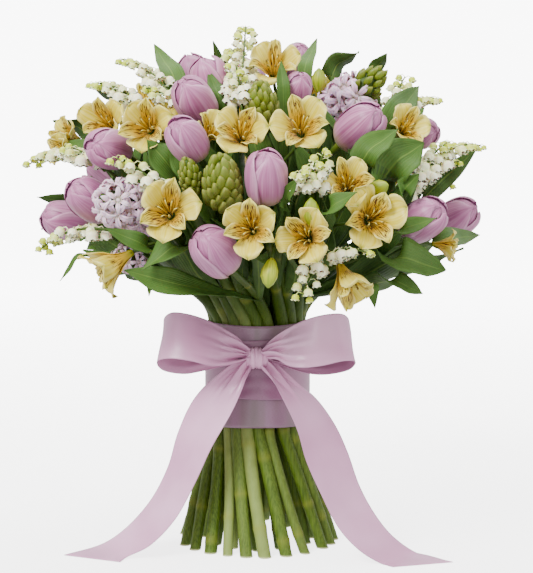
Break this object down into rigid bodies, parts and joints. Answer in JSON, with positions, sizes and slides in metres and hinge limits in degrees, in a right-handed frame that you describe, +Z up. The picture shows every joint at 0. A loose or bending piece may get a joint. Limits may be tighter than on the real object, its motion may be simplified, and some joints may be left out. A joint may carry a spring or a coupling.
{
  "type": "mixed flower bouquet",
  "caption": "Hand-tied dome of mixed spring flowers on flared green stems, bound by a satin band with a bow whose tails lie out on the table.",
  "frame": {"origin": "centre of the middle stem's cut end, on the surface that the bouquet stands on", "axes": "+Z up along the bunch's axis; -Y towards the side that carries the bow; +X to the right as seen from that side"},
  "size_m": [0.4111, 0.39, 0.4626],
  "materials": {
    "tulip_petal": "silky pink-lilac petal with darker seams",
    "hyacinth_floret": "waxy floret, green in bud and lilac when open",
    "peruvian_lily_petal": "soft cream-yellow petal with dark streaks",
    "valley_lily_bell": "white waxy bell on a green stalk",
    "stem_and_leaf": "fresh green leaf and stem, softly glossy",
    "satin_ribbon": "mauve-pink satin"
  },
  "bodies": {
    "root": {"hyacinth_01": "hyacinth_floret", "hyacinth_02": "hyacinth_floret", "hyacinth_03": "hyacinth_floret", "hyacinth_04": "hyacinth_floret", "hyacinth_05": "hyacinth_floret", "hyacinth_06": "hyacinth_floret", "hyacinth_07": "hyacinth_floret", "hyacinth_08": "hyacinth_floret", "hyacinth_09": "hyacinth_floret", "lily_of_the_valley_01": "valley_lily_bell", "lily_of_the_valley_02": "valley_lily_bell", "lily_of_the_valley_03": "valley_lily_bell", "lily_of_the_valley_04": "valley_lily_bell", "lily_of_the_valley_05": "valley_lily_bell", "lily_of_the_valley_06": "valley_lily_bell", "lily_of_the_valley_07": "valley_lily_bell", "lily_of_the_valley_08": "valley_lily_bell", "lily_of_the_valley_09": "valley_lily_bell", "lily_of_the_valley_10": "valley_lily_bell", "lily_of_the_valley_11": "valley_lily_bell", "lily_of_the_valley_12": "valley_lily_bell", "peruvian_lilies_01": "peruvian_lily_petal", "peruvian_lilies_02": "peruvian_lily_petal", "peruvian_lilies_03": "peruvian_lily_petal", "peruvian_lilies_04": "peruvian_lily_petal", "peruvian_lilies_05": "peruvian_lily_petal", "peruvian_lilies_06": "peruvian_lily_petal", "peruvian_lilies_07": "peruvian_lily_petal", "peruvian_lilies_08": "peruvian_lily_petal", "peruvian_lilies_09": "peruvian_lily_petal", "peruvian_lilies_10": "peruvian_lily_petal", "peruvian_lilies_11": "peruvian_lily_petal", "peruvian_lilies_12": "peruvian_lily_petal", "ribbon_band": "satin_ribbon", "ribbon_bow": "satin_ribbon", "stem_middle": "stem_and_leaf", "stems_leaves_back": "stem_and_leaf", "stems_leaves_left": "stem_and_leaf", "stems_leaves_right": "stem_and_leaf", "tulip_01": "tulip_petal", "tulip_02": "tulip_petal", "tulip_03": "tulip_petal", "tulip_04": "tulip_petal", "tulip_05": "tulip_petal", "tulip_06": "tulip_petal", "tulip_07": "tulip_petal", "tulip_08": "tulip_petal", "tulip_09": "tulip_petal", "tulip_10": "tulip_petal", "tulip_11": "tulip_petal", "tulip_12": "tulip_petal", "tulip_13": "tulip_petal", "tulip_14": "tulip_petal", "tulip_15": "tulip_petal", "tulip_16": "tulip_petal", "tulip_17": "tulip_petal", "tulip_18": "tulip_petal", "tulip_19": "tulip_petal", "tulip_20": "tulip_petal", "tulip_21": "tulip_petal"}
  },
  "joints": []
}
